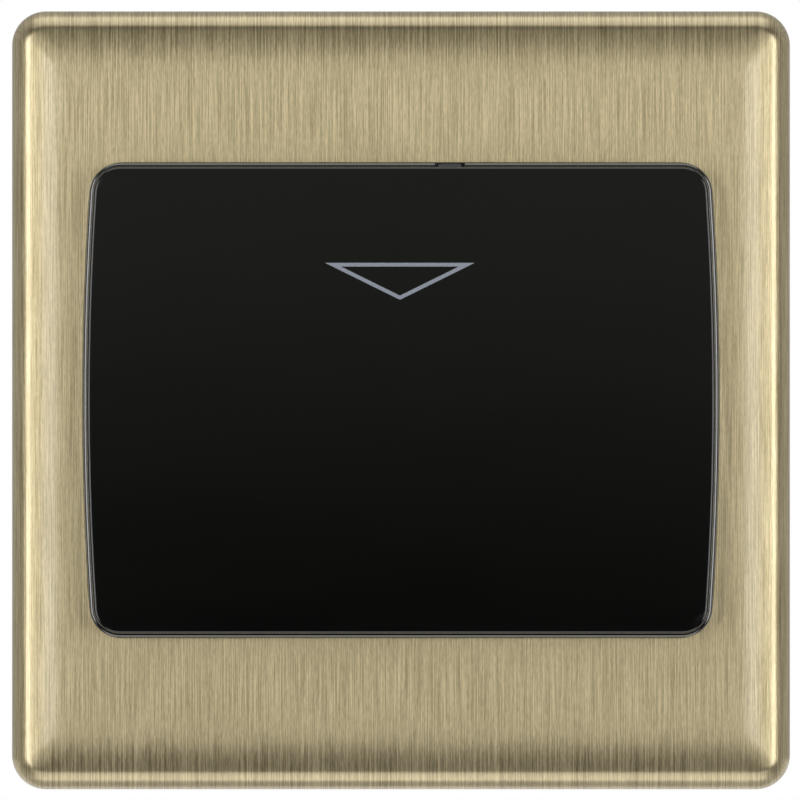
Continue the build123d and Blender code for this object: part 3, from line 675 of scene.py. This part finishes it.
FINISHES: Dict[str, Finish] = {
    "brass_plate": BRASS,
    "gloss_black": GLOSS_BLACK,
    "black_moulding": MouldedPlastic(
        "black_moulding",
        (0.022, 0.022, 0.023),
        0.52,
        texture_mm=0.16,
        texture_depth_mm=0.006,
        mottle=0.25,
    ),
    "plated_steel": RolledMetal(
        "plated_steel",
        (0.66, 0.66, 0.63),
        0.3,
        grain=Axis.DEPTH,
        grain_per_mm=5.0,
        stain=(0.5, 0.46, 0.36),
    ),
    "clear_acrylic": ClearMoulding("clear_acrylic", (0.86, 0.88, 0.92), 0.04),
    "zinc_steel": RolledMetal(
        "zinc_steel",
        (0.56, 0.57, 0.58),
        0.4,
        grain=Axis.UP,
        grain_per_mm=4.0,
        stain=(0.36, 0.36, 0.36),
        stain_share=0.35,
        spangle_per_mm=0.22,
    ),
    "board": SolderMask("board", (0.03, 0.15, 0.05), 0.4),
    "relay_shell": MouldedPlastic(
        "relay_shell",
        (0.02, 0.03, 0.07),
        0.45,
        texture_mm=0.14,
        texture_depth_mm=0.005,
        mottle=0.2,
    ),
    "switch_shell": MouldedPlastic(
        "switch_shell",
        (0.035, 0.034, 0.033),
        texture_depth_mm=0.006,
        mottle=0.3,
    ),
    "tinned_metal": RolledMetal(
        "tinned_metal",
        (0.7, 0.7, 0.68),
        0.34,
        grain=Axis.DEPTH,
        stain=(0.5, 0.5, 0.48),
    ),
    "red_plastic": MouldedPlastic("red_plastic", (0.42, 0.03, 0.02), 0.36, mottle=0.1),
    "white_nylon": MouldedPlastic(
        "white_nylon",
        (0.66, 0.65, 0.6),
        0.44,
        texture_depth_mm=0.004,
        mottle=0.06,
        gloss_change=0.14,
    ),
    "spring_steel": SPRING_STEEL,
    "terminal_brass": RolledMetal(
        "terminal_brass",
        (0.68, 0.53, 0.26),
        0.3,
        grain=Axis.UP,
        grain_per_mm=5.0,
        stain=(0.4, 0.27, 0.11),
        stain_share=0.5,
    ),
    "spring_bronze": RolledMetal(
        "spring_bronze",
        (0.62, 0.38, 0.21),
        0.3,
        grain=Axis.UP,
        stain=(0.35, 0.19, 0.1),
        stain_share=0.5,
    ),
    "led_lens": ClearMoulding("led_lens", (0.75, 0.82, 0.9), 0.06),
    "film_shell": MouldedPlastic(
        "film_shell",
        (0.56, 0.43, 0.09),
        0.36,
        texture_mm=0.14,
        texture_depth_mm=0.004,
        mottle=0.1,
    ),
    "can_sleeve": MouldedPlastic(
        "can_sleeve",
        (0.03, 0.045, 0.13),
        0.3,
        texture_mm=0.2,
        texture_depth_mm=0.003,
        mottle=0.2,
        gloss_change=0.1,
        coat=0.4,
    ),
    "varistor_coat": MouldedPlastic(
        "varistor_coat",
        (0.05, 0.14, 0.4),
        0.34,
        texture_mm=0.5,
        texture_depth_mm=0.02,
        mottle=0.15,
        gloss_change=0.1,
        coat=0.5,
    ),
    "resistor_coat": MouldedPlastic(
        "resistor_coat",
        (0.46, 0.38, 0.26),
        0.48,
        texture_mm=0.2,
        texture_depth_mm=0.01,
        mottle=0.15,
    ),
    "chip_epoxy": MouldedPlastic(
        "chip_epoxy",
        (0.018, 0.018, 0.018),
        0.56,
        texture_mm=0.08,
        texture_depth_mm=0.006,
        mottle=0.2,
    ),
}


def linked(name: str, data: bpy.types.ID) -> bpy.types.Object:
    """Makes an object and links it into the scene.

    Args:
        name: the object's name
        data: its mesh, lamp or camera

    Returns:
        The new object.
    """
    made = bpy.data.objects.new(name, data)
    bpy.context.scene.collection.objects.link(made)
    return made


def add_piece(
    name: str,
    mesh: bpy.types.Mesh,
    finish: bpy.types.Material,
    body: Optional[str],
) -> bpy.types.Object:
    """Links a mesh as a piece of the object.

    Args:
        name: the piece's name
        mesh: its mesh, already in place in the row frame
        finish: its material
        body: the body that it rides, or none for a piece that rides no body

    Returns:
        The new object.
    """
    made = linked(name, mesh)
    mesh.materials.clear()
    mesh.materials.append(finish)
    if body:
        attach(made, body)
    LOG.info("%s: %d faces on %s", name, len(mesh.polygons), body or "two bodies")
    return made


def mesh_of(bm: bmesh.types.BMesh, name: str, smooth: bool = True) -> bpy.types.Mesh:
    """Turns a finished bmesh into a mesh.

    Args:
        bm: the bmesh, which is freed
        name: the mesh's name
        smooth: whether its faces are shaded smooth

    Returns:
        The mesh.
    """
    for face in bm.faces:
        face.smooth = smooth
    mesh = bpy.data.meshes.new(name)
    bm.to_mesh(mesh)
    bm.free()
    return mesh


def square(name: str, side: float, place: Matrix) -> bpy.types.Mesh:
    """Makes a flat square, for the stage.

    Args:
        name: the mesh's name
        side: metres along each side
        place: where its middle is and how it is turned

    Returns:
        The mesh.
    """
    bm = bmesh.new()
    bmesh.ops.create_grid(bm, x_segments=1, y_segments=1, size=side / 2, matrix=place)
    return mesh_of(bm, name, smooth=False)


def round_off(
    bm: bmesh.types.BMesh,
    parts: List[Part],
    radius_mm: float,
    steps: int,
    rounding: Rounding = Rounding.EDGES,
) -> None:
    """Rounds edges, or the corners of a flat outline.

    Args:
        bm: the shape
        parts: the edges or vertices to round
        radius_mm: the radius, in millimetres
        steps: how many facets make up the round
        rounding: whether the parts are edges or corners
    """
    bmesh.ops.bevel(
        bm,
        geom=parts,
        offset=radius_mm * MM,
        affect=rounding.value,
        segments=steps,
        profile=0.5,
        material=-1,
    )


def merged_copy(node: str) -> bpy.types.Mesh:
    """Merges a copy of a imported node's mesh, so that it can be shaded smooth.

    Args:
        node: the node's name

    Returns:
        The merged mesh.
    """
    bm = bmesh.new()
    bm.from_mesh(frame["nodes"][node].data)
    bmesh.ops.remove_doubles(bm, verts=bm.verts, dist=MERGE_DISTANCE_MM * MM)
    return mesh_of(bm, node + "_skin")


def even_shading(piece: bpy.types.Object, sharp_degrees: float) -> None:
    """Keeps flats flat beside small radii, and folds above an angle sharp.

    Args:
        piece: the piece, with smooth faces
        sharp_degrees: angle between two faces from which their edge is sharp
    """
    bm = bmesh.new()
    bm.from_mesh(piece.data)
    for edge in bm.edges:
        sharp = len(edge.link_faces) != 2
        if not sharp:
            sharp = edge.calc_face_angle(0.0) > math.radians(sharp_degrees)
        edge.smooth = not sharp
    bm.to_mesh(piece.data)
    bm.free()
    weighted = piece.modifiers.new("even_normals", "WEIGHTED_NORMAL")
    weighted.mode = "FACE_AREA"
    weighted.weight = LARGEST_ALONE
    weighted.keep_sharp = True


@dataclass
class BarrelOutline:
    """The card holder's outline: flat top and bottom, bowed sides."""

    width: float = 70.28
    height: float = 52.4
    side_bow: float = 0.96
    corner_radius: float = 3.4
    corner_steps: int = 12
    side_steps: int = 40

    def loop(self, grow: float, level: float) -> List[Vector]:
        """Walks once round the outline.

        Args:
            grow: distance outside the holder's own outline
            level: distance in front of the wall

        Returns:
            The places of its points, in order.
        """
        bm = bmesh.new()
        side = self.width / 2 - self.side_bow + grow
        top = self.height / 2 + grow
        places = [(-side, -top), (side, -top), (side, top), (-side, top)]
        turns = [bm.verts.new((x * MM, -level * MM, z * MM)) for x, z in places]
        bm.faces.new(turns)
        radius = self.corner_radius + grow
        round_off(bm, turns, radius, self.corner_steps, Rounding.CORNERS)
        straights = [edge for edge in bm.edges if edge.calc_length() > top * MM]
        bmesh.ops.subdivide_edges(bm, edges=straights, cuts=self.side_steps)
        for vertex in bm.verts:
            share = vertex.co.z / (top * MM)
            bow = self.side_bow * MM * (1 - share * share)
            vertex.co.x += math.copysign(bow, vertex.co.x)
        bm.faces.ensure_lookup_table()
        walked = [vertex.co.copy() for vertex in bm.faces[0].verts]
        bm.free()
        return walked


@dataclass
class BrassPlate:
    """Pressed brass plate with rolled edges, a crown and a barrel opening."""

    side: float = 86.0
    depth: float = PLATE_DEPTH_MM
    wall: float = 0.8
    corner_radius: float = 3.8
    corner_steps: int = 20
    roll: float = 2.05
    roll_steps: int = 14
    roll_margin: float = 0.15
    crown_reach: float = 7.3
    crown_slope_degrees: float = 12.0
    crown_steps: int = 12
    opening_gap: float = 0.03
    lip_radius: float = 0.06
    lip_steps: int = 3
    lip_degrees: float = 50.0

    def crown_drop(self, distance: float) -> float:
        """How far the face lies behind its flat middle.

        Args:
            distance: distance in from the plate's side

        Returns:
            The drop in millimetres.
        """
        span = self.crown_reach - self.roll
        left = min(1.0, max(0.0, (self.crown_reach - distance) / span))
        slope = math.tan(math.radians(self.crown_slope_degrees))
        if distance < self.roll:
            return slope * (span / 3 + self.roll - distance)
        return slope * span / 3 * left**3

    def block(self, bm: bmesh.types.BMesh) -> bmesh.types.BMFace:
        """Makes the block with its rounded corners, open at the back.

        Args:
            bm: the plate's bmesh, still empty

        Returns:
            The block's front face.
        """
        thick = self.depth - self.crown_drop(0.0)
        size = Matrix.Diagonal((self.side * MM, thick * MM, self.side * MM, 1.0))
        place = Matrix.Translation((0.0, -thick / 2 * MM, 0.0))
        bmesh.ops.create_cube(bm, size=1.0, matrix=place @ size)
        uprights = [
            edge
            for edge in bm.edges
            if abs(edge.verts[0].co.y - edge.verts[1].co.y) > MM
        ]
        round_off(bm, uprights, self.corner_radius, self.corner_steps)
        bm.normal_update()
        front = min(bm.faces, key=lambda each: each.normal.y)
        back = max(bm.faces, key=lambda each: each.normal.y)
        bmesh.ops.delete(bm, geom=[back], context="FACES_ONLY")
        return front

    def crown(self, bm: bmesh.types.BMesh, face: bmesh.types.BMFace) -> None:
        """Raises the face towards its middle, ring by ring.

        The first ring follows the rounded corners, as the roll beside it does.

        Args:
            bm: the plate's bmesh
            face: the front face, which is the flat middle afterwards
        """
        start = self.roll + self.roll_margin
        bmesh.ops.inset_region(
            bm, faces=[face], thickness=start * MM, use_even_offset=True
        )
        for vertex in face.verts:
            vertex.co.y = (self.crown_drop(start) - self.depth) * MM
        span = self.crown_reach - start
        half_side = self.side / 2
        reached = half_side - start
        for step in range(1, self.crown_steps + 1):
            distance = start + span * step / self.crown_steps
            bmesh.ops.inset_region(bm, faces=[face], thickness=0.0, depth=0.0)
            scale = (half_side - distance) / reached
            reached = half_side - distance
            for vertex in face.verts:
                vertex.co.x *= scale
                vertex.co.z *= scale
                vertex.co.y = (self.crown_drop(distance) - self.depth) * MM

    def open_up(
        self,
        bm: bmesh.types.BMesh,
        face: bmesh.types.BMFace,
        outline: BarrelOutline,
    ) -> None:
        """Fills the flat middle again, all but the opening.

        Args:
            bm: the plate's bmesh
            face: the flat middle
            outline: the outline of the opening
        """
        flat_edges = list(face.edges)
        bmesh.ops.delete(bm, geom=[face], context="FACES_ONLY")
        walked = outline.loop(self.opening_gap, self.depth)
        opening = [bm.verts.new(place) for place in walked]
        opening_edges = [
            bm.edges.new(pair) for pair in zip(opening, opening[1:] + opening[:1])
        ]
        bmesh.ops.triangle_fill(
            bm,
            use_beauty=True,
            edges=flat_edges + opening_edges,
            normal=(0.0, -1.0, 0.0),
        )

    def build(self, outline: BarrelOutline) -> bpy.types.Mesh:
        """Presses the plate as one sheet: block, crown, rolled edges, opening.

        Args:
            outline: the outline of the opening

        Returns:
            The plate's mesh.
        """
        bm = bmesh.new()
        face = self.block(bm)
        rim = list(face.edges)
        self.crown(bm, face)
        round_off(bm, rim, self.roll, self.roll_steps)
        self.open_up(bm, face, outline)
        bmesh.ops.recalc_face_normals(bm, faces=bm.faces)
        foremost = min(bm.faces, key=lambda each: each.calc_center_median().y)
        if foremost.normal.y > 0:
            bmesh.ops.reverse_faces(bm, faces=bm.faces)
        return mesh_of(bm, "brass_plate")

    def dress(self, outline: BarrelOutline, finish: bpy.types.Material) -> None:
        """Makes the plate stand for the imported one.

        Args:
            outline: the outline of the opening
            finish: the brass
        """
        piece = add_piece(
            "pressed_plate", self.build(outline), finish, UNIT_BODY
        )
        wall = piece.modifiers.new("wall", "SOLIDIFY")
        wall.thickness = self.wall * MM
        wall.offset = -1.0
        wall.use_even_offset = True
        lip = piece.modifiers.new("lip", "BEVEL")
        lip.width = self.lip_radius * MM
        lip.segments = self.lip_steps
        lip.limit_method = "ANGLE"
        lip.angle_limit = math.radians(self.lip_degrees)
        weighted = piece.modifiers.new("even_normals", "WEIGHTED_NORMAL")
        weighted.weight = BY_AREA
        weighted.keep_sharp = True
        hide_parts("front_plate")


@dataclass
class CardHolder:
    """The guide behind and the cover in front, with the printed mark."""

    face_level: float = 16.0
    mark_width: float = 16.5
    mark_height: float = 4.07
    mark_line: float = 0.41
    mark_top: float = 15.14
    mark_x: float = -0.12
    mark_thickness: float = 0.02
    sharp_degrees: float = 38.0

    def mark(self) -> bpy.types.Mesh:
        """Draws the triangle that points down, as a thin layer of ink.

        Returns:
            The mark's mesh.
        """
        bm = bmesh.new()
        half = self.mark_width / 2
        places = [
            (self.mark_x - half, self.mark_top),
            (self.mark_x, self.mark_top - self.mark_height),
            (self.mark_x + half, self.mark_top),
        ]
        level = -self.face_level * MM
        face = bm.faces.new([bm.verts.new((x * MM, level, z * MM)) for x, z in places])
        face.normal_update()
        bmesh.ops.inset_region(
            bm,
            faces=[face],
            thickness=self.mark_line * MM,
            use_boundary=True,
            use_even_offset=True,
        )
        bmesh.ops.delete(bm, geom=[face], context="FACES")
        raised = bmesh.ops.extrude_face_region(bm, geom=bm.faces[:])["geom"]
        bmesh.ops.translate(
            bm,
            verts=[item for item in raised if isinstance(item, bmesh.types.BMVert)],
            vec=(0.0, -self.mark_thickness * MM, 0.0),
        )
        bmesh.ops.recalc_face_normals(bm, faces=bm.faces)
        return mesh_of(bm, "mark", smooth=False)

    def dress(
        self,
        rim: bpy.types.Material,
        face: bpy.types.Material,
        ink: bpy.types.Material,
    ) -> None:
        """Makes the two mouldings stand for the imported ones, and adds the mark.

        Args:
            rim: the guide's material, which shows round the cover
            face: the cover's material
            ink: the mark's material
        """
        for node, black in (("card_guide", rim), ("card_cover", face)):
            piece = add_piece(
                node + "_moulding", merged_copy(node), black, UNIT_BODY
            )
            even_shading(piece, self.sharp_degrees)
            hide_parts(node)
        add_piece("printed_mark", self.mark(), ink, UNIT_BODY)


@dataclass
class LeverSpring:
    """The wound spring, whose lower leg turns with the lever."""

    still_z: float = 5.4
    turning_z: float = 2.6

    def dress(self, finish: bpy.types.Material) -> None:
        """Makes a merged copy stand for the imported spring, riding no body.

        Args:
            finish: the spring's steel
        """
        piece = add_piece(
            "wound_spring", merged_copy("lever_spring"), finish, None
        )
        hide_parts("lever_spring")
        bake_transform(piece)


class PackedPieces:
    """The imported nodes, whose own meshes stay as they are."""

    def dress(self) -> None:
        """Gives each node the material of its slot."""
        materials = {slot: finish.material() for slot, finish in FINISHES.items()}
        slots = {
            piece["node"]: piece["material_slot"]
            for piece in frame["record"]["subparts"]
        }
        for name, node in frame["nodes"].items():
            node.data.materials.clear()
            node.data.materials.append(materials[slots[name]])
            LOG.info("%s: %s", name, slots[name])


@dataclass(frozen=True)
class Lamp:
    """Soft rectangular lamp that faces the plate.

    Azimuth is in degrees to the right of straight in front, and elevation in
    degrees above the horizon. Lengths are in metres. A radiance of 1 is white.
    """

    name: str
    azimuth: float
    elevation: float
    width: float
    height: float
    radiance: float
    distance: float = 0.8

    def hang(self) -> None:
        """Links the lamp into the scene."""
        data = bpy.data.lights.new(self.name, "AREA")
        data.shape = "RECTANGLE"
        data.size = self.width
        data.size_y = self.height
        data.energy = self.radiance * math.pi * self.width * self.height
        lamp = linked(self.name, data)
        turn, rise = math.radians(self.azimuth), math.radians(self.elevation)
        away = Vector(
            (
                math.sin(turn) * math.cos(rise),
                -math.cos(turn) * math.cos(rise),
                math.sin(rise),
            )
        )
        lamp.location = away * self.distance
        lamp.rotation_euler = away.to_track_quat("Z", "Y").to_euler()
        lamp.visible_camera = False


LAMPS = (
    Lamp("left_box", -12.5, 0, 0.12, 0.14, 3.1),
    Lamp("right_box", 12.5, 0, 0.12, 0.14, 3.1),
    Lamp("left_edge", -38, 0, 0.26, 0.6, 3.0),
    Lamp("right_edge", 38, 0, 0.26, 0.6, 3.0),
    Lamp("top_box", 0, 72, 0.9, 0.76, 0.7),
    Lamp("bottom_box", 0, -57, 0.9, 0.68, 0.85),
)


@dataclass
class Studio:
    """Camera, lamps, floor and world of the straight-on picture."""

    picture_width_mm: float = 88.34
    plate_shift_x_mm: float = -0.11
    plate_shift_z_mm: float = 0.03
    camera_distance: float = 3.0
    sensor_mm: float = 36.0
    floor_drop: float = 0.3
    floor_size: float = 3.0
    floor_start: float = 0.15
    floor_colour: Colour = (0.86, 0.86, 0.86)
    floor_glow: float = 0.5
    room_glow: float = 0.3
    side_glow: float = 0.36
    front_glow: float = 0.01
    card_distance: float = 0.2
    card_size: float = 0.3
    card_reach_mm: float = 34.0
    card_glow: float = 0.135
    card_colour: Colour = (1.0, 1.0, 0.88)

    def camera(self) -> None:
        """Sets a long lens straight in front of the plate."""
        data = bpy.data.cameras.new("camera")
        data.sensor_width = self.sensor_mm
        reach = self.camera_distance - PLATE_DEPTH_MM * MM
        data.lens = self.sensor_mm * reach / (self.picture_width_mm * MM)
        data.clip_start = 0.01
        data.clip_end = 20.0
        camera = linked("camera", data)
        camera.location = (
            self.plate_shift_x_mm * MM,
            -self.camera_distance,
            self.plate_shift_z_mm * MM,
        )
        camera.rotation_euler = (math.radians(90), 0.0, 0.0)
        bpy.context.scene.camera = camera

    def floor(self) -> None:
        """Lays the pale floor, which is seen from above only."""
        middle = (0.0, self.floor_start + self.floor_size / 2, -self.floor_drop)
        mesh = square("floor", self.floor_size, Matrix.Translation(middle))
        floor = linked("floor", mesh)
        material, graph = new_material("floor")
        seen = graph.rays("Is Camera Ray").highest(graph.rays("Is Glossy Ray"))
        seen = seen.highest(graph.rays("Is Transmission Ray"))
        paint = graph.shader("ShaderNodeBsdfDiffuse", {"Color": self.floor_colour})
        glow = graph.shader("ShaderNodeEmission", {"Color": WHITE})
        lit = graph.shader(
            "ShaderNodeMixShader", {0: seen * self.floor_glow, 1: paint, 2: glow}
        )
        below = graph.shader("ShaderNodeBsdfTransparent", {})
        side = graph.node("ShaderNodeNewGeometry").outputs["Backfacing"]
        graph.finish(graph.shader("ShaderNodeMixShader", {0: side, 1: lit, 2: below}))
        mesh.materials.append(material)

    def world(self) -> None:
        """Makes a white ground behind the plate and a dim room before it."""
        world = bpy.data.worlds.new("studio")
        world.use_nodes = True
        bpy.context.scene.world = world
        graph = NodeGraph(world.node_tree)
        direction = graph.node("ShaderNodeTexCoord").outputs["Generated"]
        depth = graph.parts(direction)[1]
        behind = depth.between(low=0.9, high=0.99)
        glossy = graph.rays("Is Glossy Ray")
        clear = graph.rays("Is Transmission Ray")
        seen = graph.rays("Is Camera Ray")
        white = seen.highest(glossy.highest(clear) * behind)
        beside = depth.between(low=-0.7, high=0.1)
        mirrored = beside * self.side_glow + self.front_glow
        dim = glossy * mirrored + (1 - glossy) * self.room_glow
        strength = white + (1 - white) * dim
        ground = graph.shader(
            "ShaderNodeBackground", {"Color": WHITE, "Strength": strength}
        )
        graph.finish(ground, world=True)

    def front_card(self) -> None:
        """Hangs a card of soft light before the plate, bright above, dark below.

        Only reflections see it, and light from the lamps passes through it.
        """
        place = Matrix.Translation((0.0, -self.card_distance, 0.0))
        turn = Matrix.Rotation(math.radians(90), 4, "X")
        mesh = square("front_card", self.card_size, place @ turn)
        card = linked("front_card", mesh)
        material, graph = new_material("front_card")
        reach = self.card_reach_mm * MM
        rise = graph.parts(graph.places())[2].between(-reach, reach)
        glow = graph.shader(
            "ShaderNodeEmission",
            {"Color": self.card_colour, "Strength": rise * self.card_glow},
        )
        through = graph.shader("ShaderNodeBsdfTransparent", {})
        graph.finish(graph.shader("ShaderNodeAddShader", {0: glow, 1: through}))
        mesh.materials.append(material)
        card.visible_camera = False
        card.visible_diffuse = False
        card.visible_shadow = False
        card.visible_transmission = False

    def build(self) -> None:
        """Sets up the whole studio."""
        self.camera()
        for lamp in LAMPS:
            lamp.hang()
        self.front_card()
        self.floor()
        self.world()
        bpy.context.scene.view_settings.view_transform = "Standard"


def main() -> None:
    """Builds the studio and dresses every piece."""
    logging.basicConfig(level=logging.INFO, format="%(message)s")
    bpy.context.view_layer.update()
    Studio().build()
    PackedPieces().dress()
    BrassPlate().dress(BarrelOutline(), BRASS.material())
    CardHolder().dress(
        RIM_BLACK.material(), GLOSS_BLACK.material(), MARK_INK.material()
    )
    LeverSpring().dress(SPRING_STEEL.material())


if __name__ == "__main__":
    main()
